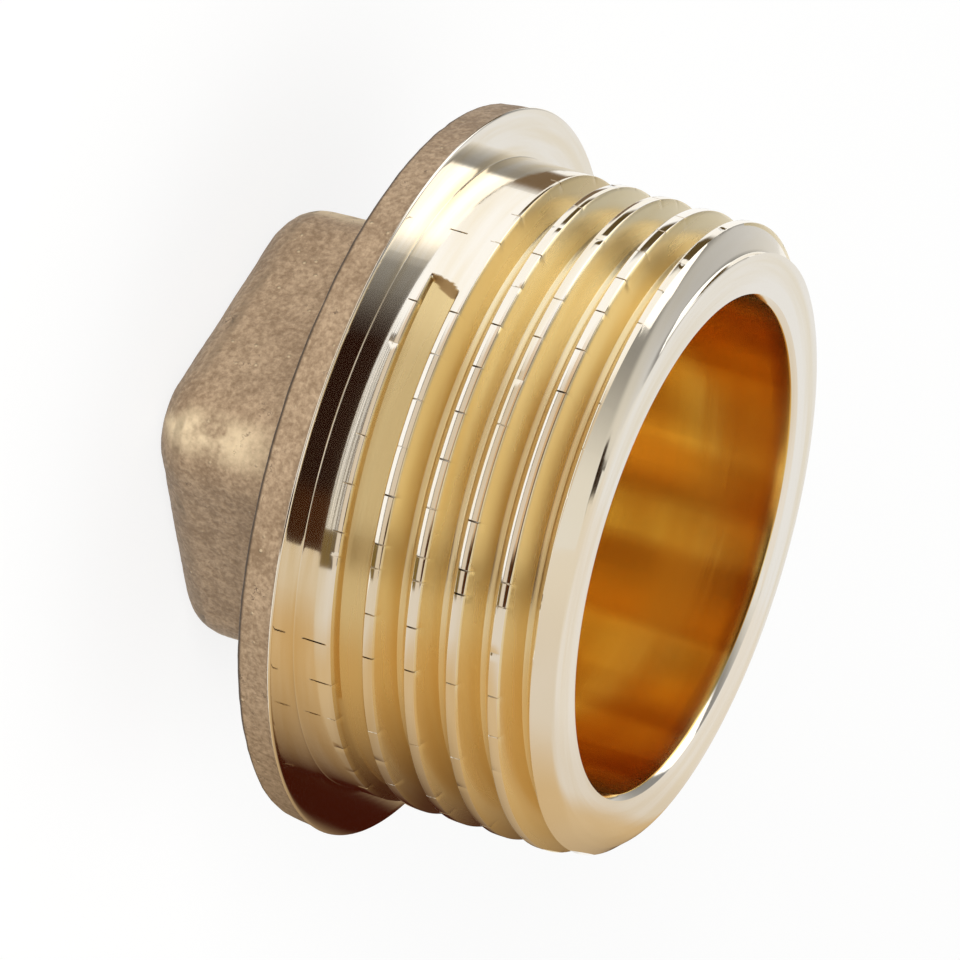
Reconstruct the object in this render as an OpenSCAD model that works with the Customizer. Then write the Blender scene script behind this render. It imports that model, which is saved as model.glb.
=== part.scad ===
// Brass pipe plug with an outside thread: a forged square head and flange,
// and a turned, hollow, threaded shank.
// It stands on the flat end of its head, mouth up, with the axis along +Z.

/* [Thread] */
// Diameter over the thread crests
thread_d = 26.44; // [24:0.01:29]
// Distance from one crest to the next
thread_pitch = 1.814; // [1.5:0.001:2.3]
// Angle between the two flanks of the groove
thread_angle = 55; // [50:1:60]
// Width of the flat along the top of a crest
crest_flat = 0.42; // [0.3:0.01:0.6]
// Width of the flat along the bottom of the groove
root_flat = 0.27; // [0.15:0.01:0.4]
// Length of the shank, from the flange's face to the mouth
shank_length = 10.96; // [8:0.01:16]
// Radius in the corner between the flange's face and the shank
shank_corner_r = 0.1; // [0.05:0.05:0.5]

/* [Thread run-out] */
// Distance from the flange's face to the middle of the groove where it stops
runout_distance = 1.97; // [1.5:0.01:3]
// Place around the axis where the groove stops, from +X
runout_angle = 273.7; // [0:0.1:360]
// Depth of the groove just before it stops
runout_depth = 0.35; // [0.2:0.01:0.6]
// Turn over which the groove comes down to its full depth
runout_sweep = 320; // [180:10:420]
// Turn over which the cutter lifts out at the stop
lift_sweep = 3; // [2:1:10]

/* [Flange] */
// Diameter of the flange at its face
flange_d = 30.5; // [28:0.1:40]
// Thickness of the flange
flange_thickness = 1.65; // [1.2:0.05:4]
// Amount that the rim draws in from the face to the back, on the radius
rim_draft = 0.15; // [0:0.05:0.4]
// Radius of the rim's back edge
rim_back_r = 0.3; // [0.1:0.05:0.6]
// Radius of the rim's edge at the turned face
rim_face_r = 0.1; // [0.05:0.05:0.3]

/* [Head] */
// Size across the flats of the square head, at its end
head_width = 14.65; // [12:0.05:17]
// Height of the head, from its end to the back of the flange
head_height = 7.73; // [6:0.01:14]
// Amount that each side of the head spreads from its end to the flange
head_draft = 0.15; // [0:0.05:0.5]
// Radius of the head's four upright edges
head_corner_r = 3.25; // [2.6:0.05:5]
// Radius around the head's end
head_end_r = 2.1; // [1:0.1:2.5]
// Radius in the corner between the head and the flange
head_root_r = 0.7; // [0.3:0.1:1.2]

/* [Bore] */
// Diameter of the bore
bore_d = 20.6; // [14:0.1:22]
// Thickness of the floor, from the back of the flange to the bottom of the bore
floor_thickness = 2.4; // [1:0.1:5]
// Radius in the corner at the bottom of the bore
bore_corner_r = 1; // [0.4:0.1:2]

/* [Mouth] */
// Outer chamfer at the mouth, on the radius
mouth_chamfer_r = 0.75; // [0.3:0.01:1]
// Outer chamfer at the mouth, along the axis
mouth_chamfer_length = 0.8; // [0.3:0.05:1.5]
// Inner chamfer at the mouth
bore_chamfer = 0.22; // [0.1:0.01:0.6]

/* [Hidden] */

thread_r = thread_d / 2;
bore_r = bore_d / 2;
flange_r = flange_d / 2;
face_z = head_height + flange_thickness;
mouth_z = face_z + shank_length;
floor_z = head_height + floor_thickness;

// Slope of a flank: how far it goes along the axis for each step outward
flank_slope = tan(thread_angle / 2);
thread_depth = (thread_pitch - crest_flat - root_flat) / 2 / flank_slope;
// The groove's cutter stands this far out of the shank, less than where two turns would meet
cutter_clearance = crest_flat / 2;
// One step of the cutter along the groove, in degrees
cutter_step = 7.5;
// The cutter runs on until it is clear of the mouth
cutter_turns = (shank_length - runout_distance + thread_pitch) / thread_pitch;

// Sides of the circles about the axis, and of the smaller ones at the head's corners
turned_sides = 128;
corner_sides = 32;
// Steps on a rounded edge
edge_steps = 6;
// Steps on the corner between the head and the flange
root_steps = 4;

// Points on an arc of the section, from angle a to angle b
function arc(x, z, r, a, b) =
    [for (i = [0 : edge_steps]) let (t = a + (b - a) * i / edge_steps) [x + r * cos(t), z + r * sin(t)]];

// Depth of the groove at a turn t from its stop, in degrees
function groove_depth(t) =
    t < lift_sweep
        ? -cutter_clearance / 2 + (runout_depth + cutter_clearance / 2) * t / lift_sweep
        : min(thread_depth, runout_depth + (thread_depth - runout_depth) * (t - lift_sweep) / runout_sweep);

// A point of the cutter at a turn t, at a radius r and a height z above the middle of the groove
function cutter_point(t, r, z) = [
    r * cos(runout_angle + t),
    r * sin(runout_angle + t),
    face_z + runout_distance + thread_pitch * t / 360 + z
];

// Half the groove's width at a radius r
function half_groove(r) = (thread_pitch - crest_flat) / 2 + (r - thread_r) * flank_slope;

// The four corners of the cutter at a turn t
function cutter_section(t) =
    let (outer = thread_r + cutter_clearance, inner = thread_r - groove_depth(t))
    [
        cutter_point(t, outer, -half_groove(outer)),
        cutter_point(t, inner, -half_groove(inner)),
        cutter_point(t, inner, half_groove(inner)),
        cutter_point(t, outer, half_groove(outer))
    ];

// The flange and the hollow shank as one section turned about the axis
module turned_body() {
    rotate_extrude($fn = turned_sides)
        polygon(concat(
            [[0, head_height]],
            arc(flange_r - rim_draft - rim_back_r, head_height + rim_back_r, rim_back_r, -90, 0),
            arc(flange_r - rim_face_r, face_z - rim_face_r, rim_face_r, 0, 90),
            arc(thread_r + shank_corner_r, face_z + shank_corner_r, shank_corner_r, 270, 180),
            [
                [thread_r, mouth_z - mouth_chamfer_length],
                [thread_r - mouth_chamfer_r, mouth_z],
                [bore_r + bore_chamfer, mouth_z],
                [bore_r, mouth_z - bore_chamfer]
            ],
            arc(bore_r - bore_corner_r, floor_z + bore_corner_r, bore_corner_r, 0, -90),
            [[0, floor_z]]
        ));
}

// The path of the thread cutter: one long groove that runs out through the mouth
module thread_groove() {
    turns = concat(
        [0],
        [for (t = [lift_sweep : cutter_step : cutter_turns * 360]) t]
    );
    last = len(turns) - 1;
    polyhedron(
        points = [for (t = turns) each cutter_section(t)],
        faces = concat(
            [[0, 1, 2, 3]],
            [for (i = [0 : last - 1], k = [0 : 3])
                let (a = 4 * i + k, b = 4 * i + (k + 1) % 4)
                each [[a, a + 4, b], [b, a + 4, b + 4]]],
            [[4 * last + 3, 4 * last + 2, 4 * last + 1, 4 * last]]
        )
    );
}

// Puts a round post in each corner of the head, for a head of the given width
module head_corners(width) {
    place = width / 2 - head_corner_r;
    for (x = [-place, place], y = [-place, place])
        translate([x, y, 0])
            children();
}

// The square head, drawn in towards its end and rounded on every edge
module square_head() {
    base_width = head_width + 2 * head_draft;
    hull() {
        head_corners(head_width)
            rotate_extrude($fn = corner_sides)
                polygon(concat(
                    [[0, 0]],
                    arc(head_corner_r - head_end_r, head_end_r, head_end_r, -90, 0),
                    [[0, head_end_r]]
                ));
        // The base reaches halfway into the flange, so that the two are one solid
        head_corners(base_width)
            translate([0, 0, head_height])
                cylinder(r = head_corner_r, h = flange_thickness / 2, $fn = corner_sides);
    }
    for (i = [0 : root_steps - 1])
        hull()
            head_corners(base_width)
                root_ring(i);
}

// One step of the rounded corner between the head and the flange
module root_ring(i) {
    low = 90 * i / root_steps;
    high = 90 * (i + 1) / root_steps;
    spread_low = head_root_r * (1 - cos(low));
    spread_high = head_root_r * (1 - cos(high));
    translate([0, 0, head_height - head_root_r * (1 - sin(low))])
        cylinder(
            r1 = head_corner_r + spread_low,
            r2 = head_corner_r + spread_high,
            h = head_root_r * (sin(high) - sin(low)),
            $fn = corner_sides
        );
}

module pipe_plug() {
    color("#b8935a")
        union() {
            difference() {
                turned_body();
                thread_groove();
            }
            square_head();
        }
}

pipe_plug();
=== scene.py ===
import math
import random
import bpy
from mathutils import Matrix, Vector, noise


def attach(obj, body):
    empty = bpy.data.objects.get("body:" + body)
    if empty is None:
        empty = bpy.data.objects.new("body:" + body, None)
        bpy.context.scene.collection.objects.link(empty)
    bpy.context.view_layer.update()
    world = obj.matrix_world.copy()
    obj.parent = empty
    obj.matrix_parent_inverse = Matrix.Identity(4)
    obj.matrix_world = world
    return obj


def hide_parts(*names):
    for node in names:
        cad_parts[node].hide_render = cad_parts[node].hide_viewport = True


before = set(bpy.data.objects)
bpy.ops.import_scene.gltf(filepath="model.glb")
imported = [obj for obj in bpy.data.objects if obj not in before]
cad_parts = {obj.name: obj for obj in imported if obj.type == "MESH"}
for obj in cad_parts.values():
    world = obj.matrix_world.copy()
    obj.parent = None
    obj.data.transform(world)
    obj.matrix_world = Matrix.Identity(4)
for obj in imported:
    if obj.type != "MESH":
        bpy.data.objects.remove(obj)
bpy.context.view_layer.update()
mm = 0.001
print("frame loaded")


def hexColor(text):
    # sRGB hex to the linear colour that the shaders take
    parts = [int(text[i:i + 2], 16) / 255 for i in (1, 3, 5)]
    return tuple(c / 12.92 if c <= 0.04045 else ((c + 0.055) / 1.055) ** 2.4 for c in parts) + (1.0,)


def addNode(tree, kind, settings=None, inputs=None):
    # one node with its settings; an input is a value, a socket, or a node whose first socket in use feeds it
    node = tree.nodes.new("ShaderNode" + kind)
    for key, value in (settings or {}).items():
        setattr(node, key, value)
    for key, value in (inputs or {}).items():
        if isinstance(value, bpy.types.Node):
            value = next(socket for socket in value.outputs if socket.enabled)
        if isinstance(value, bpy.types.NodeSocket):
            tree.links.new(value, node.inputs[key])
        else:
            node.inputs[key].default_value = value
    return node


smooth = {"interpolation_type": "SMOOTHSTEP"}
multiply = {"operation": "MULTIPLY"}
colorMix = {"data_type": "RGBA"}    # takes its share at 0, the colour under at 6 and the colour over at 7

# plug, in mm and degrees: heights from the end of the head, thread heights from the flange's face, angles from +X
plug = {
    "headWidth": 14.65, "headHeight": 7.73, "headDraft": 0.15,
    "headCornerR": 3.25, "headEndR": 2.1, "headRootR": 0.7,
    "flangeR": 15.25, "flangeThickness": 1.65, "rimDraft": 0.15, "rimBackR": 0.3, "rimFaceR": 0.1,
    "shankLength": 10.959,      # a hair inside the CAD's mouth
    "shankCornerR": 0.03,
    "threadR": 13.22, "pitch": 1.814, "flankAngle": 27.5, "crestFlat": 0.42, "rootFlat": 0.27,
    # the crest's edges and the groove's corners; these are crisper, by a share, where the groove ends
    "crestEdge": 0.025, "crestRound": 0.04, "rootRound": 0.04, "rootRoundAtEnd": 0.2,
    "runoutDistance": 1.97, "runoutAngle": 273.7, "runoutDepth": 0.22, "runoutSweep": 320,
    # the slanted wall where the groove ends, in degrees past there: its top and its foot, as powers of the place
    # across the groove
    "wallTop": (-1.16, 0.467, 1.204, 0.408), "wallFoot": (1.4, 1.7, -0.52, -0.065), "wallLeast": 0.3,
    "grooveLeast": 0.01, "tornLeast": 0.02, "cutLeast": 0.05,    # depths from which each of these shows
    "mouthChamferR": 0.75, "mouthChamferLength": 0.8, "chamferRound": 0.04,
    "mouthEdge": 0.03, "mouthEdgeIn": 0.02, "mouthEdgeDrop": 0.012,    # edge between chamfer and end face
    "boreR": 10.3, "boreChamfer": 0.22, "boreEdge": 0.04, "boreEdgeShare": 0.88,
    "boreCornerR": 1.0, "floorThickness": 2.4, "floorMiddleR": 0.4,
    # nicks across the crests: half the width at the bottom and at the top in degrees, and the depth
    "nickCount": 43, "nickStep": 8.47, "nickStart": -34.37,
    "nickHalf": 0.06, "nickReach": 0.16, "nickDepth": 0.14,
    "nickFade": 0.14, "nickChamferFade": 0.3,           # gone this deep in the groove and this near the chamfer
    "nickGrooveLeast": 0.2, "nickAcrossFade": 0.6,      # only beside a groove this deep; lost across the crest
    "nickDraw": (-0.4, 1.3), "nickTurns": 8, "seed": 11,    # strength of each, none when under 0
    # short nicks on the plain land beside the flange: which nick, and from where to where along the axis
    "landNicks": {2: (0.4, 1.8), 3: (0.75, 2.0), 4: (0.35, 0.9), 35: (1.0, 1.6)},
    # grain of the forged skin: size, height and a shift that keeps the three apart
    "grain": ((0.42, 0.035, (0, 0, 0)), (1.3, 0.045, (7, 3, 1)), (4.5, 0.05, (2, 9, 4))),
    "rimGrain": 0.4,        # share of it at the rim's edge
    # mesh: columns between two nicks and at the groove's end, rows on each form
    "columnsBetweenNicks": 4,
    "endColumns": 20, "endColumnFrom": -1.7, "endColumnStep": 0.3, "endColumnClear": 0.14,
    "rows": {"headEnd": 14, "headEdge": 20, "headSide": 26, "headRoot": 8, "flangeBack": 12, "rimBack": 6,
             "rim": 10, "rimFace": 5, "flangeFace": 10, "shankCorner": 6, "chamfer": 36, "bore": 10,
             "boreCorner": 8, "floor": 6},
    "headMiddle": 0.04,                                 # share of the head's end inside its first row
    "flankShares": (0.0, 0.3, 0.6, 0.88, 1.0), "floorInset": 0.05, "floorRowsAtEnd": 4, "flankShareAtEnd": 0.5,
    "rowsChangeFrom": 60, "rowsChangeTo": 200,          # degrees past the groove's end
    "ringClear": 0.012,                                 # no row of the thread is nearer to a plain ring
    "endShares": (0.0, 0.06, 0.25, 0.5, 0.75, 0.95, 1.0),
    "sharpAngle": 40,
}
plug["faceZ"] = plug["headHeight"] + plug["flangeThickness"]
plug["mouthZ"] = plug["faceZ"] + plug["shankLength"]
plug["floorZ"] = plug["headHeight"] + plug["floorThickness"]
plug["flankSlope"] = math.tan(math.radians(plug["flankAngle"]))
plug["halfGroove"] = (plug["pitch"] - plug["crestFlat"]) / 2
plug["threadDepth"] = (plug["halfGroove"] - plug["rootFlat"] / 2) / plug["flankSlope"]
plug["chamferZ"] = plug["shankLength"] - plug["mouthChamferLength"]

forged, turned, cut, bored = range(4)   # material slots of the plug


def columnAngles():
    # degrees past the run-out, with the nick each is on and its share of that: four columns for a nick, even ones
    # between, and a few for the groove's end
    p = plug
    start, reach, half, between = p["runoutAngle"], p["nickReach"], p["nickHalf"], p["columnsBetweenNicks"]
    found = {}
    for k in range(p["nickCount"]):
        middle = p["nickStart"] + p["nickStep"] * k
        for side, share in ((-reach, 0.0), (-half, 1.0), (half, 1.0), (reach, 0.0)):
            found[round((middle + side - start) % 360, 4)] = (k, share)
        span = p["nickStep"] - 2 * reach
        if k == p["nickCount"] - 1:     # the last nick is nearer to the first one
            span = 360 - p["nickStep"] * (p["nickCount"] - 1) - 2 * reach
        for i in range(1, between + 1):
            found[round((middle + reach + span * i / (between + 1) - start) % 360, 4)] = (None, 0.0)
    for i in range(p["endColumns"]):
        extra = (p["endColumnFrom"] + p["endColumnStep"] * i) % 360
        if all(abs(extra - old) > p["endColumnClear"] for old in found):
            found[extra] = (None, 0.0)
    return sorted((past, nick, share) for past, (nick, share) in found.items())


columns = columnAngles()
columnCount = len(columns)
angles = [math.radians(plug["runoutAngle"] + past) for past, nick, share in columns]
draw = random.Random(plug["seed"])
nickStrength = [[max(0.0, draw.uniform(*plug["nickDraw"])) for turn in range(plug["nickTurns"])]
                for nick in range(plug["nickCount"])]


def softMin(a, b, width):
    # the smaller of two, rounded off where they meet
    h = max(0.0, width - abs(a - b)) / width
    return min(a, b) - h * h * width / 4


def grooveDepth(turn, offset):
    # depth at a turn past the groove's end and an offset from its middle, and whether that is on the end's wall:
    # first the slanted, lens-shaped wall, then down to full depth over most of a turn
    p = plug
    across = max(-1.0, min(1.0, offset / p["halfGroove"]))
    start, end = (sum(c * across ** i for i, c in enumerate(p[edge])) for edge in ("wallTop", "wallFoot"))
    wall = max(p["wallLeast"], end - start)
    if turn < start:
        return 0.0, False
    if turn < start + wall:
        share = (turn - start) / wall
        return p["runoutDepth"] * share * share * (3 - 2 * share), True
    rest = (turn - start - wall) / p["runoutSweep"]
    return p["runoutDepth"] + (p["threadDepth"] - p["runoutDepth"]) * min(1.0, rest), False


def shankRadius(column, z):
    # outside radius of the shank, how deep in the groove that is, whether it is on the groove's end wall, and how
    # much of a nick it is in
    p = plug
    past, nick, nickShare = column
    n = round((z - p["runoutDistance"] - p["pitch"] * past / 360) / p["pitch"])
    offset = z - p["runoutDistance"] - p["pitch"] * (past / 360 + n)
    deepest, onWall = grooveDepth(past + 360 * n, offset)
    half, crest = p["halfGroove"], p["crestFlat"]
    depth = 0.0
    if deepest > p["grooveLeast"]:
        # a vee, with crisper corners where it is shallow
        share = max(0.0, (deepest - p["runoutDepth"]) / (p["threadDepth"] - p["runoutDepth"]))
        flank = (half - abs(offset)) / p["flankSlope"]
        corner = p["rootRound"] * (p["rootRoundAtEnd"] + (1 - p["rootRoundAtEnd"]) * share)
        depth = softMin(deepest, flank, corner)
        depth = -softMin(0.0, -depth, min(p["crestRound"], deepest))
    radius = p["threadR"] - depth
    inNick = 0.0
    if nickShare and depth < p["nickFade"]:
        onLand = z < p["runoutDistance"] + p["pitch"] * (past / 360 - 0.5)
        low, high = p["landNicks"].get(nick, (0, 0))
        most = nickShare * (1 - depth / p["nickFade"])
        most *= max(0.0, min(1.0, (p["chamferZ"] - z) / p["nickChamferFade"]))
        if onLand and low <= z <= high:
            inNick = most
        elif not onLand and deepest > p["nickGrooveLeast"]:
            # deepest at the crest's edge on the flange's side
            across = offset - half if offset > 0 else p["pitch"] + offset - half
            fade = 1 - p["nickAcrossFade"] * max(0.0, min(1.0, across / crest))
            inNick = most * fade * nickStrength[nick][(n if offset > 0 else n - 1) % p["nickTurns"]]
        radius -= p["nickDepth"] * inNick
    cone = p["threadR"] - (z - p["chamferZ"]) * p["mouthChamferR"] / p["mouthChamferLength"]
    if z > p["chamferZ"]:
        depth = max(0.0, cone - radius)
        radius = softMin(radius, cone, p["chamferRound"])
    return radius, depth, onWall and depth > p["tornLeast"], min(1.0, inNick)


def squareReach(angle, half, corner):
    # distance from the axis to a rounded square's outline
    x, y = abs(math.cos(angle)), abs(math.sin(angle))
    if x < y:
        x, y = y, x
    flat = half - corner
    if half * y / x <= flat:
        return half / x
    b = (x + y) * flat
    return b + math.sqrt(max(0.0, b * b - 2 * flat * flat + corner * corner))


vertices, faces, faceSlots = [], [], []
skin = []                          # share of the forged grain, by point
tornPoints, nickPoints = {}, {}    # share of the torn groove end and of a nick, by point


def addPoint(x, y, z, grain=0.0):
    vertices.append((x, y, z))
    skin.append(grain)
    return len(vertices) - 1


def addFace(ids, slot):
    clean = [v for i, v in enumerate(ids) if v != ids[i - 1]]
    if len(clean) > 2:
        faces.append(clean)
        faceSlots.append(slot)


def ringRow(reach, z, grain=0.0):
    # one point for each column, at its own reach from the axis
    return [addPoint(r * math.cos(a), r * math.sin(a), z, grain) for r, a in zip(reach, angles)]


def roundRow(radius, z, grain=0.0):
    return ringRow([radius] * columnCount, z, grain)


def squareRow(half, corner, z, shrink=1.0):
    return ringRow([squareReach(a, half, corner) * shrink for a in angles], z, 1.0)


def shankRow(z):
    return ringRow([shankRadius(column, z)[0] for column in columns], plug["faceZ"] + z)


def joinRows(rows, slot):
    for low, high in zip(rows, rows[1:]):
        for j in range(columnCount):
            k = (j + 1) % columnCount
            addFace([low[j], low[k], high[k], high[j]], slot)


def spread(a, b, count):
    return [a + (b - a) * i / count for i in range(count + 1)]


def arc(start, end, count):
    # cosine and sine at even steps after the start
    return [(math.cos(math.radians(t)), math.sin(math.radians(t))) for t in spread(start, end, count)[1:]]


def buildHead():
    # from the middle of the head's end, out over its rounded edge, up the sides to the flange's back and rim
    p, count = plug, plug["rows"]
    half, corner, endR, rootR = p["headWidth"] / 2, p["headCornerR"], p["headEndR"], p["headRootR"]
    backZ, backR = p["headHeight"], p["rimBackR"]
    centre = addPoint(0.0, 0.0, 0.0, 1.0)
    rows = [squareRow(half - endR, corner - endR, 0.0, s)
            for s in spread(p["headMiddle"], 1.0, count["headEnd"])]
    for j in range(columnCount):
        addFace([centre, rows[0][(j + 1) % columnCount], rows[0][j]], forged)
    for c, s in arc(-90, 0, count["headEdge"]):
        out, up = endR * c, endR * (1 + s)
        rows.append(squareRow(half - endR + out, corner - endR + out, up))
    baseHalf = half + p["headDraft"]
    sideEnd = backZ - rootR
    for z in spread(endR, sideEnd, count["headSide"])[1:]:
        rows.append(squareRow(half + p["headDraft"] * (z - endR) / (backZ - endR), corner, z))
    for c, s in arc(0, 90, count["headRoot"]):
        out, up = rootR * (1 - c), rootR * s
        rows.append(squareRow(baseHalf + out, corner + out, sideEnd + up))
    outer = p["flangeR"] - p["rimDraft"] - backR
    last = [squareReach(a, baseHalf + rootR, corner + rootR) for a in angles]
    for s in spread(0, 1, count["flangeBack"])[1:]:
        rows.append(ringRow([r + (outer - r) * s for r in last], backZ, 1.0))
    for c, s in arc(-90, 0, count["rimBack"]):
        rows.append(roundRow(outer + backR * c, backZ + backR * (1 + s), 1.0))
    rimTop = p["faceZ"] - p["rimFaceR"]
    for i in range(1, count["rim"] + 1):
        s = i / count["rim"]
        rows.append(roundRow(p["flangeR"] - p["rimDraft"] * (1 - s),
                             backZ + backR + (rimTop - backZ - backR) * s,
                             p["rimGrain"] if i == count["rim"] else 1.0))
    joinRows(rows, forged)
    return rows[-1]


def buildFlangeFace(rim):
    # over the rim's edge, across the turned face and into the corner at the shank
    p, count = plug, plug["rows"]
    faceR, cornerR = p["rimFaceR"], p["shankCornerR"]
    rows = [rim]
    for c, s in arc(0, 90, count["rimFace"]):
        rows.append(roundRow(p["flangeR"] - faceR * (1 - c), p["faceZ"] - faceR * (1 - s)))
    for r in spread(p["flangeR"] - faceR, p["threadR"] + cornerR, count["flangeFace"])[1:]:
        rows.append(roundRow(r, p["faceZ"]))
    for c, s in arc(0, 90, count["shankCorner"]):
        rows.append(roundRow(p["threadR"] + cornerR - cornerR * s, p["faceZ"] + cornerR * (1 - c)))
    joinRows(rows, turned)
    return rows[-1]


def threadRows(turn):
    # heights of the rows from the middle of the groove: floor, flanks, crest edges and the middle of the crest
    p = plug
    deep = max(p["runoutDepth"], grooveDepth(turn, 0.0)[0])
    half, atEnd = p["halfGroove"], p["floorRowsAtEnd"]
    floorHalf = half - deep * p["flankSlope"]
    flank = half - floorHalf
    along = [0.0, floorHalf - p["floorInset"]] + [floorHalf + flank * s for s in p["flankShares"]]
    nearEnd = [floorHalf * i / atEnd for i in range(atEnd + 1)]
    nearEnd += [floorHalf + flank * p["flankShareAtEnd"], half]
    share = (turn - p["rowsChangeFrom"]) / (p["rowsChangeTo"] - p["rowsChangeFrom"])
    share = max(0.0, min(1.0, share))
    above = [a + (b - a) * share for a, b in zip(nearEnd, along)]
    above.append(half + p["crestEdge"])
    return [-d for d in reversed(above[1:])] + above + [p["pitch"] / 2]


def chamferRows(turn):
    # even, fine rows where the thread runs out through the chamfer, the same at every turn
    count = plug["rows"]["chamfer"]
    return [plug["pitch"] * (i / count - 0.5) for i in range(count)]


def buildSpiral(bottom, top, zLow, zHigh, rowsAt, grooveSlot):
    # rows that follow the groove round the shank, cut off at a plain ring below and above
    p = plug
    perTurn = len(rowsAt(0.0))
    firstTurn = math.floor((zLow - p["runoutDistance"]) / p["pitch"]) - 2
    lastTurn = math.ceil((zHigh - p["runoutDistance"]) / p["pitch"]) + 1
    count = (lastTurn - firstTurn) * perTurn
    near = p["ringClear"]
    grid, depths = [], []
    for column, a, low, high in zip(columns, angles, bottom, top):
        ids, deep = [], []
        for turn in range(firstTurn, lastTurn + 1):
            for offset in rowsAt(column[0] + 360 * turn):
                z = p["runoutDistance"] + p["pitch"] * (column[0] / 360 + turn) + offset
                r, depth, onWall, inNick = shankRadius(column, max(zLow, min(zHigh, z)))
                if zLow + near <= z <= zHigh - near:
                    point = addPoint(r * math.cos(a), r * math.sin(a), p["faceZ"] + z)
                    tornPoints[point] = float(onWall)
                    nickPoints[point] = inNick
                else:
                    point = low if z < zLow + near else high
                ids.append(point)
                deep.append(depth)
        grid.append(ids)
        depths.append(deep)
    for j in range(columnCount):
        k = (j + 1) % columnCount
        step = perTurn if k == 0 else 0     # after a whole turn the rows meet the ones a pitch higher
        for m in range(count - 1):
            around = ((j, m), (k, m + step), (k, m + 1 + step), (j, m + 1))
            mean = sum(depths[c][row] for c, row in around) / 4
            addFace([grid[c][row] for c, row in around], grooveSlot if mean > p["cutLeast"] else turned)


def buildShank(corner):
    p = plug
    chamferRing = shankRow(p["chamferZ"])
    buildSpiral(corner, chamferRing, p["shankCornerR"], p["chamferZ"], threadRows, cut)
    edgeZ = p["shankLength"] - p["mouthEdge"]
    mouthRing = shankRow(edgeZ)
    buildSpiral(chamferRing, mouthRing, p["chamferZ"], edgeZ, chamferRows, turned)
    return mouthRing


def buildMouth(ring):
    # end face and inner chamfer, then the bore and its floor
    p, count = plug, plug["rows"]
    boreR, chamfer, cornerR, edge = p["boreR"], p["boreChamfer"], p["boreCornerR"], p["boreEdgeShare"]
    end = [ring]
    outer = [shankRadius(column, p["shankLength"])[0] - p["mouthEdgeIn"] for column in columns]
    for s in p["endShares"]:
        drop = p["mouthEdgeDrop"] if s == 0.0 else 0.0
        end.append(ringRow([r + (boreR + chamfer - r) * s for r in outer], p["mouthZ"] - drop))
    end.append(roundRow(boreR + chamfer * (1 - edge), p["mouthZ"] - chamfer * edge))
    joinRows(end, turned)
    wall = [end[-1]]
    for z in spread(p["mouthZ"] - chamfer - p["boreEdge"], p["floorZ"] + cornerR, count["bore"]):
        wall.append(roundRow(boreR, z))
    for c, s in arc(0, 90, count["boreCorner"]):
        wall.append(roundRow(boreR - cornerR * (1 - c), p["floorZ"] + cornerR * (1 - s)))
    for r in spread(boreR - cornerR, p["floorMiddleR"], count["floor"])[1:]:
        wall.append(roundRow(r, p["floorZ"]))
    joinRows(wall, bored)
    centre = addPoint(0.0, 0.0, p["floorZ"])
    for j in range(columnCount):
        addFace([wall[-1][j], wall[-1][(j + 1) % columnCount], centre], bored)


buildMouth(buildShank(buildFlangeFace(buildHead())))
print("plug rows built:", columnCount, "columns,", len(vertices), "points,", len(faces), "faces")


def grainHeight(place):
    # the forged skin only goes inward, so the plug keeps its outside size
    return sum(height * (noise.noise(Vector(place) / size + Vector(shift)) - 1)
               for size, height, shift in plug["grain"]) / 2


def makePlug():
    mesh = bpy.data.meshes.new("pipePlug")
    mesh.from_pydata([Vector(v) * mm for v in vertices], [], faces)
    mesh.polygons.foreach_set("material_index", faceSlots)
    mesh.polygons.foreach_set("use_smooth", [True] * len(faces))
    mesh.update()
    moved = []
    for v in mesh.vertices:
        if skin[v.index]:
            moved.append((v.index, v.normal.copy() * grainHeight(vertices[v.index]) * skin[v.index] * mm))
    for index, step in moved:
        mesh.vertices[index].co += step
    mesh.set_sharp_from_angle(angle=math.radians(plug["sharpAngle"]))
    for name, shares in (("torn", tornPoints), ("nick", nickPoints)):
        mark = mesh.attributes.new(name, "FLOAT", "POINT")
        mark.data.foreach_set("value", [shares.get(i, 0.0) for i in range(len(vertices))])
    mesh.validate()
    mesh.update()
    piece = bpy.data.objects.new("pipePlug", mesh)
    bpy.context.scene.collection.objects.link(piece)
    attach(piece, "root")
    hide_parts("pipe_plug")
    return piece


pipePlug = makePlug()
print("plug made")


def bareMaterial(name):
    material = bpy.data.materials.new(name)
    material.use_nodes = True
    material.node_tree.nodes.clear()
    return material, material.node_tree


def brassSurface(tree, finish, color, rough, height):
    bump = addNode(tree, "Bump", None,
                   {"Height": height, "Strength": finish["bumpStrength"], "Distance": finish["bumpMm"] * mm})
    shader = addNode(tree, "BsdfPrincipled", None,
                     {"Base Color": color, "Roughness": rough, "Normal": bump, "Metallic": finish["metal"]})
    addNode(tree, "OutputMaterial", None, {"Surface": shader})


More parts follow.
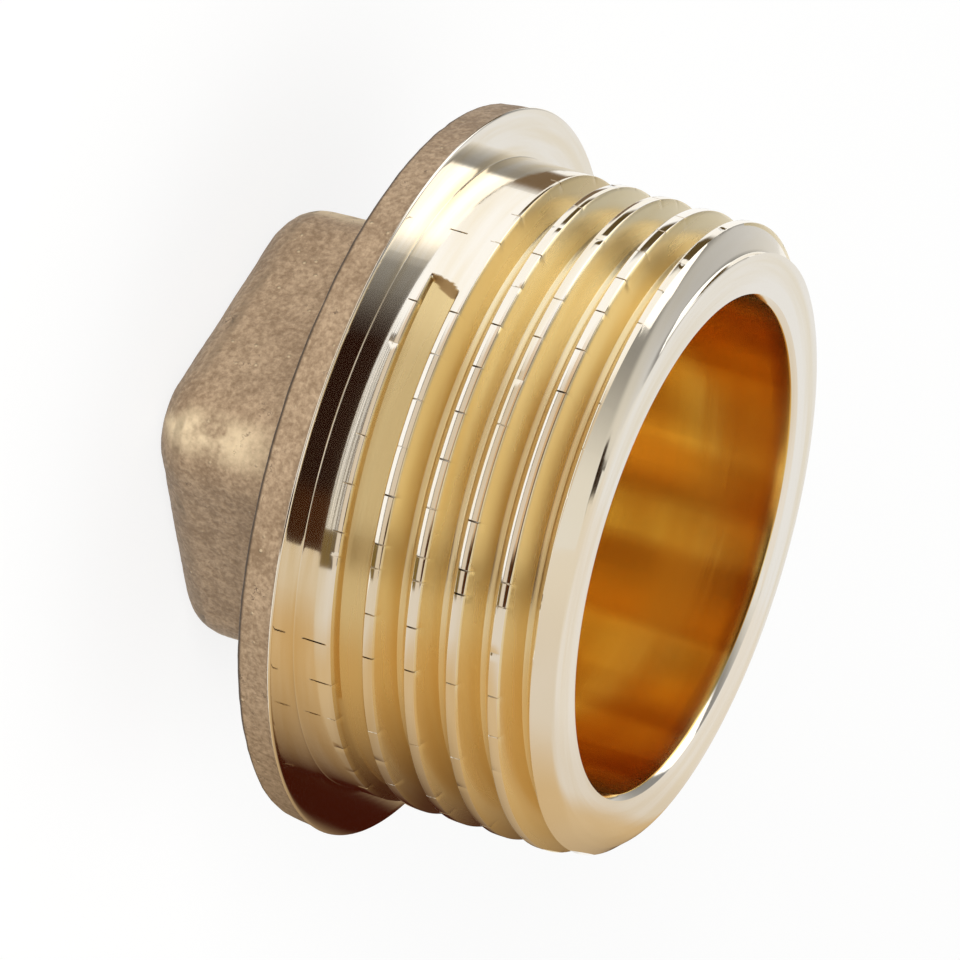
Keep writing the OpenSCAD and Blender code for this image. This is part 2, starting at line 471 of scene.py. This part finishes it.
# brass, hot forged and shot blasted: a dull tan skin, part oxide, with a sandy grain, bright specks and fine dark
# cracks, and a painted highlight along the head's upright edges near its end
forgedBrass = {
    "metal": 0.2, "rough": 0.55, "roughSpread": 0.1, "bumpStrength": 0.7, "bumpMm": 0.07,
    "grainMm": 0.21, "grainDetail": 4.0, "blotchMm": 1.8, "blotchDetail": 4.0, "crackMm": 0.7, "crackDetail": 3.0,
    "patternRough": 0.62, "speckMm": 0.6, "blotchInTone": 0.6,
    "paintedEndShadeZ": 1.4,        # middle of the broken line of painted shade round the head's end
    "dark": "#8e755a",
    # coats over the dark one: colour, then where it starts and is full by each measure, in mm or pattern values
    "coats": {
        "light": ("#c2a788", ("tone", 0.55, 1.1)),
        # painted highlight on the head's upright edges, full near its end and broken up by the blotches
        "paintedCornerHighlight": ("#f0d9b2", ("corner", 5.2, 6.3), ("height", plug["headHeight"], 2.5), ("blotch", 0.3, 0.6)),
        "crack": ("#77624e", ("fromCrack", 0.016, 0.004), ("blotch", 0.58, 0.68)),
        # painted shade on the rim's rounded back edge, where it turns under toward the head
        "paintedRimShade": ("#4b3a28", ("reach", plug["flangeR"] - 0.6, plug["flangeR"] - 0.4),
                    ("height", plug["headHeight"] + 0.3, plug["headHeight"] + 0.17)),
        # broken line of painted shade round the head's end
        "paintedEndShade": ("#77634a", ("fromPaintedEndShade", 0.3, 0.12), ("blotch", 0.4, 0.75)),
        "speck": ("#cdb694", ("fromSpeck", 0.17, 0.06), ("speckPick", 0.5, 0.75)),
    },
}


def forgedMaterial():
    f = forgedBrass
    material, tree = bareMaterial("brassForgedAndBlasted")
    place = addNode(tree, "TexCoord").outputs["Object"]
    grain, blotch, crack = (
        addNode(tree, "TexNoise", None, {"Vector": place, "Scale": 1 / (f[name + "Mm"] * mm),
                                         "Detail": f[name + "Detail"], "Roughness": f["patternRough"]})
        for name in ("grain", "blotch", "crack"))
    cells = addNode(tree, "TexVoronoi", None, {"Vector": place, "Scale": 1 / (f["speckMm"] * mm)})
    xyz = addNode(tree, "SeparateXYZ", None, {0: place})
    blotchPart = addNode(tree, "Math", multiply, {0: blotch, 1: f["blotchInTone"]})
    tone = addNode(tree, "Math", {"operation": "ADD"}, {0: grain, 1: blotchPart})
    # distances from a crack, where its pattern is at the middle value, and from the middle of the painted shade
    # line round the head's end
    fromCrack, fromPaintedEndShade = (
        addNode(tree, "Math", {"operation": "ABSOLUTE"},
                {0: addNode(tree, "Math", {"operation": "SUBTRACT"}, {0: value, 1: middle})})
        for value, middle in ((crack, 0.5), (xyz.outputs["Z"], f["paintedEndShadeZ"] * mm)))
    # the upright edges are where both sides of the square are far out
    sides = [addNode(tree, "Math", {"operation": "ABSOLUTE"}, {0: xyz.outputs[axis]}) for axis in ("X", "Y")]
    corner = addNode(tree, "Math", {"operation": "MINIMUM"}, {0: sides[0], 1: sides[1]})
    flat = addNode(tree, "VectorMath", multiply, {0: place, 1: (1, 1, 0)})
    reach = addNode(tree, "VectorMath", {"operation": "LENGTH"}, {0: flat})
    measures = {    # what each coat goes by, with its unit
        "tone": (tone, 1), "blotch": (blotch, 1), "fromCrack": (fromCrack, 1),
        "fromSpeck": (cells.outputs["Distance"], 1), "speckPick": (cells.outputs["Color"], 1),
        "corner": (corner, mm), "reach": (reach, mm), "height": (xyz.outputs["Z"], mm),
        "fromPaintedEndShade": (fromPaintedEndShade, mm),
    }
    color, shares = hexColor(f["dark"]), {}
    for name, (tint, *limits) in f["coats"].items():
        for measure, start, end in limits:
            value, unit = measures[measure]
            share = addNode(tree, "MapRange", smooth,
                            {"Value": value, "From Min": start * unit, "From Max": end * unit})
            if name in shares:
                share = addNode(tree, "Math", multiply, {0: shares[name], 1: share})
            shares[name] = share
        color = addNode(tree, "Mix", colorMix, {0: shares[name], 6: color, 7: hexColor(tint)})
    rough = addNode(tree, "MapRange", None, {"Value": grain, "To Min": f["rough"] + f["roughSpread"],
                                             "To Max": f["rough"] - f["roughSpread"]})
    raised = addNode(tree, "Math", {"operation": "ADD"}, {0: grain, 1: shares["speck"]})
    height = addNode(tree, "Math", {"operation": "SUBTRACT"}, {0: raised, 1: shares["crack"]})
    brassSurface(tree, f, color, rough, height)
    return material


# brass, turned on a lathe: bright and pale, with fine feed lines that draw the shine out across them; these and
# the drag lines of the thread are drawn coarser than real ones, so that they show
turnedBrass = {"light": "#fdf7ec", "dark": "#f6ead2", "metal": 1.0, "rough": 0.085,
               "linesPerMm": 7.0, "bumpStrength": 0.5, "bumpMm": 0.0025, "tornEndAndNickShade": True}
# brass, thread cut with a chaser: golden flanks with faint drag lines along the groove; beside the flange, up to a
# height above its face, a painted deeper gold that stands in for light bounced in the groove
cutBrass = {"light": "#faeac2", "dark": "#f3dca6", "metal": 1.0, "rough": 0.26,
            "linesPerMm": 9.0, "bumpStrength": 0.5, "bumpMm": 0.003, "tornEndAndNickShade": True,
            "paintedBounceGold": "#ead19a", "nearTo": 2.9, "nearGone": 3.6}
# brass, bored: a deeper gold with broad tool bands around the wall, and darker streaks down it that end above the
# floor
boredBrass = {"light": "#fae29a", "dark": "#eec876", "metal": 1.0, "rough": 0.18,
              "linesPerMm": 4.0, "bumpStrength": 0.5, "bumpMm": 0.005,
              "stripe": "#dcae5e", "stripesPerTurn": 2.6, "stripeSlant": 0.05, "stripeDetail": 2.0,
              "stripeEdge": (0.48, 0.62), "stripeGone": 0.5, "stripeFull": 2.5}
# brass, torn where the chaser left the groove: dull brown patches on the cut and the turned brass; in the nicks
# they are darker, as painted shade in the dents
tornBrassAndNickShade = {"torn": "#b8986a", "nick": "#6c5a46", "rough": 0.45}
# tool marks on all the bright brass: how fast the lines and the broader bands change around the axis
toolMarks = {"linesAround": 2.0, "lineDetail": 2.0, "linesInBand": 6, "bandsAround": 1.5, "bandDetail": 3.0,
             "bandEdge": (0.3, 0.65), "roughMost": 1.4, "roughLeast": 0.7}


def lathePlace(tree, linesPerMm, aroundPerTurn):
    # place on a turned surface: across the tool's lines, and slowly around the axis
    place = addNode(tree, "TexCoord").outputs["Object"]
    xyz = addNode(tree, "SeparateXYZ", None, {0: place})
    square = addNode(tree, "Math", multiply, {0: xyz.outputs["X"], 1: xyz.outputs["X"]})
    both = addNode(tree, "Math", {"operation": "MULTIPLY_ADD"},
                   {0: xyz.outputs["Y"], 1: xyz.outputs["Y"], 2: square})
    radius = addNode(tree, "Math", {"operation": "SQRT"}, {0: both})
    across = addNode(tree, "Math", {"operation": "ADD"}, {0: radius, 1: xyz.outputs["Z"]})
    lines = addNode(tree, "Math", multiply, {0: across, 1: linesPerMm / mm})
    unit = addNode(tree, "VectorMath", {"operation": "NORMALIZE"}, {0: place})
    around = addNode(tree, "VectorMath", {"operation": "SCALE"}, {0: unit, "Scale": aroundPerTurn})
    turn = addNode(tree, "SeparateXYZ", None, {0: around})
    return addNode(tree, "CombineXYZ", None, {0: turn.outputs["X"], 1: turn.outputs["Y"], 2: lines})


def turnedMaterial(name, finish):
    m = toolMarks
    material, tree = bareMaterial(name)
    lines = addNode(tree, "TexNoise", None,
                    {"Vector": lathePlace(tree, finish["linesPerMm"], m["linesAround"]),
                     "Scale": 1.0, "Detail": m["lineDetail"]})
    bands = addNode(tree, "TexNoise", None,
                    {"Vector": lathePlace(tree, finish["linesPerMm"] / m["linesInBand"], m["bandsAround"]),
                     "Scale": 1.0, "Detail": m["bandDetail"]})
    tone = addNode(tree, "MapRange", smooth,
                   {"Value": bands, "From Min": m["bandEdge"][0], "From Max": m["bandEdge"][1]})
    rough = addNode(tree, "MapRange", None, {"Value": bands, "To Min": finish["rough"] * m["roughMost"],
                                             "To Max": finish["rough"] * m["roughLeast"]})
    coats = [(tone, finish["light"])]
    # painted deeper gold beside the flange, standing in for light bounced in the groove
    if "paintedBounceGold" in finish:
        place = addNode(tree, "TexCoord").outputs["Object"]
        height = addNode(tree, "SeparateXYZ", None, {0: place}).outputs["Z"]
        near = addNode(tree, "MapRange", smooth,
                       {"Value": height, "From Min": (plug["faceZ"] + finish["nearGone"]) * mm,
                        "From Max": (plug["faceZ"] + finish["nearTo"]) * mm})
        coats.append((near, finish["paintedBounceGold"]))
    if "stripe" in finish:
        place = addNode(tree, "TexCoord").outputs["Object"]
        height = addNode(tree, "SeparateXYZ", None, {0: place}).outputs["Z"]
        flat = addNode(tree, "VectorMath", multiply, {0: place, 1: (1, 1, finish["stripeSlant"])})
        turn = addNode(tree, "VectorMath", {"operation": "NORMALIZE"}, {0: flat})
        streaks = addNode(tree, "TexNoise", None, {"Vector": turn, "Scale": finish["stripesPerTurn"],
                                                   "Detail": finish["stripeDetail"]})
        share = addNode(tree, "MapRange", smooth, {"Value": streaks, "From Min": finish["stripeEdge"][0],
                                                   "From Max": finish["stripeEdge"][1]})
        onWall = addNode(tree, "MapRange", smooth,
                         {"Value": height, "From Min": (plug["floorZ"] + finish["stripeGone"]) * mm,
                          "From Max": (plug["floorZ"] + finish["stripeFull"]) * mm})
        coats.append((addNode(tree, "Math", multiply, {0: share, 1: onWall}), finish["stripe"]))
    if finish.get("tornEndAndNickShade"):
        # the torn groove end gets a dull brown; the nicks a darker brown, which is painted shade in the dents
        for mark in ("torn", "nick"):
            share = addNode(tree, "Attribute", {"attribute_name": mark}).outputs["Fac"]
            rough = addNode(tree, "Mix", None, {0: share, 2: rough, 3: tornBrassAndNickShade["rough"]})
            coats.append((share, tornBrassAndNickShade[mark]))
    color = hexColor(finish["dark"])
    for share, tint in coats:
        color = addNode(tree, "Mix", colorMix, {0: share, 6: color, 7: hexColor(tint)})
    brassSurface(tree, finish, color, rough, lines)
    return material


for made in (forgedMaterial(),
             turnedMaterial("brassTurned", turnedBrass),
             turnedMaterial("brassThreadCut", cutBrass),
             turnedMaterial("brassBored", boredBrass)):
    pipePlug.data.materials.append(made)
print("brass finishes made")


# floor: plain paper a hair under the plug; the glow that makes it white is seen but lights nothing
floorPaper = {"size": 8000, "below": 0.02, "color": "#868685", "glow": 0.8}


def makeFloor():
    half = floorPaper["size"] / 2 * mm
    mesh = bpy.data.meshes.new("floor")
    mesh.from_pydata([(-half, -half, 0), (half, -half, 0), (half, half, 0), (-half, half, 0)], [],
                     [(0, 1, 2, 3)])
    floor = bpy.data.objects.new("floor", mesh)
    floor.location.z = -floorPaper["below"] * mm
    bpy.context.scene.collection.objects.link(floor)
    material, tree = bareMaterial("paperWhite")
    paper = addNode(tree, "BsdfDiffuse", None, {"Color": hexColor(floorPaper["color"])})
    path = addNode(tree, "LightPath")
    seen = path.outputs["Is Camera Ray"]
    for ray in ("Is Glossy Ray", "Is Transmission Ray"):
        seen = addNode(tree, "Math", {"operation": "MAXIMUM"}, {0: seen, 1: path.outputs[ray]})
    level = addNode(tree, "Math", multiply, {0: seen, 1: floorPaper["glow"]})
    glow = addNode(tree, "Emission", None, {"Strength": level})
    both = addNode(tree, "AddShader", None, {0: paper, 1: glow})
    addNode(tree, "OutputMaterial", None, {"Surface": both})
    mesh.materials.append(material)


makeFloor()


# studio: white all round, less so from the side that is up in the photograph; that side's angle is from +X, and
# its fade is in cosines of the angle from there
studio = {"white": 1.0, "upSide": -143, "upSideWhite": 0.33, "upSideFade": (0.1, 0.7),
          "keyPlace": (210, -470, 130), "keySize": 250.0, "keyPower": 2.6,
          "glossyBounces": 8}       # light goes to and fro in the bore and the thread's grooves


def makeStudio():
    s = studio
    world = bpy.data.worlds.new("studio")
    bpy.context.scene.world = world
    world.use_nodes = True
    tree = world.node_tree
    tree.nodes.clear()
    up = math.radians(s["upSide"])
    toward = addNode(tree, "VectorMath", {"operation": "DOT_PRODUCT"},
                     {0: addNode(tree, "TexCoord").outputs["Generated"], 1: (math.cos(up), math.sin(up), 0)})
    level = addNode(tree, "MapRange", smooth,
                    {"Value": toward, "From Min": s["upSideFade"][0], "From Max": s["upSideFade"][1],
                     "To Min": s["white"], "To Max": s["upSideWhite"]})
    light = addNode(tree, "Background", None, {"Strength": level})
    addNode(tree, "OutputWorld", None, {"Surface": light})
    # soft key light from the front, for the dull skin alone: the bright metal mirrors the cards instead
    data = bpy.data.lights.new("keyLight", "AREA")
    data.shape, data.size, data.energy = "DISK", s["keySize"] * mm, s["keyPower"]
    key = bpy.data.objects.new("keyLight", data)
    key.location = Vector(s["keyPlace"]) * mm
    key.rotation_euler = key.location.to_track_quat("Z", "Y").to_euler()
    key.visible_camera = key.visible_glossy = False
    bpy.context.scene.collection.objects.link(key)
    bpy.context.scene.cycles.glossy_bounces = s["glossyBounces"]


makeStudio()


# cards round the plug that only reflections see: sizes in mm, angles in degrees from +X, soft ends over some
# degrees, one colour up to a height and another from a height
cards = {
    "overheadCard": {"radius": 150, "bottom": 0, "top": 170, "from": -182, "to": -118,
                     "fadeFrom": 3, "fadeTo": 20,
                     "low": "#ffffff", "high": "#ffffff", "lowTo": 60, "highFrom": 170, "level": 1.45},
    "frontCard": {"radius": 75, "bottom": 0, "top": 44, "from": -118, "to": 10, "fadeFrom": 32, "fadeTo": 1,
                  "low": "#d2b089", "high": "#241008", "lowTo": 15, "highFrom": 20, "level": 1.0},
    "frontTopCard": {"radius": 75, "bottom": 44, "top": 75, "from": -118, "to": 10, "fadeFrom": 32, "fadeTo": 1,
                     "low": "#241008", "high": "#b8a48a", "lowTo": 44, "highFrom": 62, "level": 1.0},
    # the near card is dark at its foot: painted shade by the floor, as the metal's reflections see it
    "nearCard": {"radius": 40, "bottom": 0, "top": 13, "from": -101, "to": 10, "fadeFrom": 18, "fadeTo": 1,
                 "low": "#54483c", "high": "#d9ccba", "lowTo": 0.2, "highFrom": 2.8, "level": 1.0},
    "edgeCard": {"radius": 39, "bottom": 11.5, "top": 60, "from": -42, "to": 10, "fadeFrom": 8, "fadeTo": 1,
                 "low": "#4a2a12", "high": "#2a1408", "lowTo": 15, "highFrom": 25, "level": 1.0},
    "backLowCard": {"radius": 31, "bottom": 0, "top": 5, "from": 176, "to": 206, "fadeFrom": 5, "fadeTo": 8,
                    "low": "#77634c", "high": "#77634c", "lowTo": 3, "highFrom": 5, "level": 1.0},
    "backHighCard": {"radius": 33, "bottom": 6, "top": 16, "from": 194, "to": 224, "fadeFrom": 5, "fadeTo": 8,
                     "low": "#5a4a2c", "high": "#5a4a2c", "lowTo": 8, "highFrom": 16, "level": 1.0},
}
cardFaces = 40      # round each curved card
# flat cards: a gap between the lamps above, and the dark gap before the table, a patch of painted shade lying on
# the floor; corners and height in mm
flatCards = {
    "lampGap": {"corners": ((40, 0), (20, 35), (-20, 35), (-40, 0), (-20, -35), (20, -35)),
                "z": 150, "color": "#2a1a0c"},
    "tableGapShade": {"corners": ((16.3, -9.7), (41.4, -22.0), (44.6, -11.3), (16.8, -7.9)),
                 "z": 0.1, "color": "#7a6434"},
}
# pale table at the side of the plug that is the lower one in the photograph, dark where the two touch; the tints
# go by the distance from the middle of the shadow, in sizes of the shadow
tableCard = {"down": 36.73, "atFlange": 15.3, "atMouth": 12.75, "front": -24.5, "back": 150, "height": 110,
             "shadowBack": 9, "shadowZ": 13, "shadowWide": 12.5, "shadowHigh": 6.5,
             "tints": ((0.5, "#3a1004"), (1.7, "#d1b78f"), (2.3, "#dcd3c6"), (5.0, "#e6e1da"))}


def makeCard(name, points, quads):
    mesh = bpy.data.meshes.new(name)
    mesh.from_pydata([Vector(v) * mm for v in points], [], quads)
    card = bpy.data.objects.new(name, mesh)
    bpy.context.scene.collection.objects.link(card)
    card.visible_camera = card.visible_diffuse = card.visible_shadow = False
    material, tree = bareMaterial(name)
    mesh.materials.append(material)
    return tree


def makeCurvedCard(name, c):
    points = []
    for degrees in spread(c["from"], c["to"], cardFaces):
        a = math.radians(degrees)
        points += [(c["radius"] * math.cos(a), c["radius"] * math.sin(a), z) for z in (c["bottom"], c["top"])]
    quads = [(2 * i, 2 * i + 2, 2 * i + 3, 2 * i + 1) for i in range(cardFaces)]
    tree = makeCard(name, points, quads)
    middle = math.radians((c["from"] + c["to"]) / 2)
    half = (c["to"] - c["from"]) / 2
    place = addNode(tree, "VectorRotate", {"rotation_type": "Z_AXIS"},
                    {"Vector": addNode(tree, "TexCoord").outputs["Object"], "Angle": -middle})
    xyz = addNode(tree, "SeparateXYZ", None, {0: place})
    turn = addNode(tree, "Math", {"operation": "ARCTAN2"}, {0: xyz.outputs["Y"], 1: xyz.outputs["X"]})
    around = addNode(tree, "Math", {"operation": "DEGREES"}, {0: turn})
    fadeIn = addNode(tree, "MapRange", smooth,
                     {"Value": around, "From Min": -half, "From Max": c["fadeFrom"] - half})
    fadeOut = addNode(tree, "MapRange", smooth,
                      {"Value": around, "From Min": half, "From Max": half - c["fadeTo"]})
    share = addNode(tree, "Math", multiply, {0: fadeIn, 1: fadeOut})
    rise = addNode(tree, "MapRange", smooth,
                   {"Value": xyz.outputs["Z"], "From Min": c["lowTo"] * mm, "From Max": c["highFrom"] * mm})
    color = addNode(tree, "Mix", colorMix, {0: rise, 6: hexColor(c["low"]), 7: hexColor(c["high"])})
    cloth = addNode(tree, "Emission", None, {"Color": color, "Strength": c["level"]})
    clear = addNode(tree, "BsdfTransparent")
    both = addNode(tree, "MixShader", None, {0: share, 1: clear, 2: cloth})
    addNode(tree, "OutputMaterial", None, {"Surface": both})


def makeFlatCard(name, c):
    tree = makeCard(name, [(x, y, c["z"]) for x, y in c["corners"]], [tuple(range(len(c["corners"])))])
    cloth = addNode(tree, "Emission", None, {"Color": hexColor(c["color"])})
    addNode(tree, "OutputMaterial", None, {"Surface": cloth})


def makeTable():
    t = tableCard
    a = math.radians(t["down"])
    slope = (t["atMouth"] - t["atFlange"]) / (plug["mouthZ"] - plug["faceZ"])
    points = []
    for z in (0.0, t["height"]):
        down = t["atFlange"] + slope * (z - plug["faceZ"])
        for back in (t["front"], t["back"]):
            points.append((down * math.cos(a) - back * math.sin(a), down * math.sin(a) + back * math.cos(a), z))
    tree = makeCard("tableCard", points, [(0, 1, 3, 2)])
    place = addNode(tree, "VectorRotate", {"rotation_type": "Z_AXIS"},
                    {"Vector": addNode(tree, "TexCoord").outputs["Object"], "Angle": -a})
    place = addNode(tree, "VectorMath", {"operation": "SUBTRACT"},
                    {0: place, 1: (0, t["shadowBack"] * mm, t["shadowZ"] * mm)})
    place = addNode(tree, "VectorMath", multiply,
                    {0: place, 1: (0, 1 / (t["shadowWide"] * mm), 1 / (t["shadowHigh"] * mm))})
    away = addNode(tree, "VectorMath", {"operation": "LENGTH"}, {0: place})
    start, color = t["tints"][0][0], hexColor(t["tints"][0][1])
    for end, tint in t["tints"][1:]:
        share = addNode(tree, "MapRange", smooth, {"Value": away, "From Min": start, "From Max": end})
        color = addNode(tree, "Mix", colorMix, {0: share, 6: color, 7: hexColor(tint)})
        start = end
    paper = addNode(tree, "Emission", None, {"Color": color})
    addNode(tree, "OutputMaterial", None, {"Surface": paper})


for name, card in cards.items():
    makeCurvedCard(name, card)
for name, card in flatCards.items():
    makeFlatCard(name, card)
makeTable()
print("floor, studio light and cards made")


# camera at the photograph's angle, rolled because the plug stands on its head here; place in mm, end of its view
# in metres
view = {
    "place": (190.002, -254.943, 128.185), "forward": (-0.561153, 0.752022, -0.345790),
    "up": (-0.707312, -0.652659, -0.271563), "lens": 315.42, "sensor": 36.0, "clipEnd": 20.0,
}


def makeCamera():
    forward, up = Vector(view["forward"]).normalized(), Vector(view["up"]).normalized()
    right = forward.cross(up)
    data = bpy.data.cameras.new("camera")
    data.sensor_width = view["sensor"]
    data.lens = view["lens"]
    data.clip_end = view["clipEnd"]
    camera = bpy.data.objects.new("camera", data)
    turn = Matrix((right, up, -forward)).transposed().to_4x4()
    camera.matrix_world = Matrix.Translation(Vector(view["place"]) * mm) @ turn
    bpy.context.scene.collection.objects.link(camera)
    bpy.context.scene.camera = camera


makeCamera()
bpy.context.scene.view_settings.view_transform = "Standard"
print("camera set")
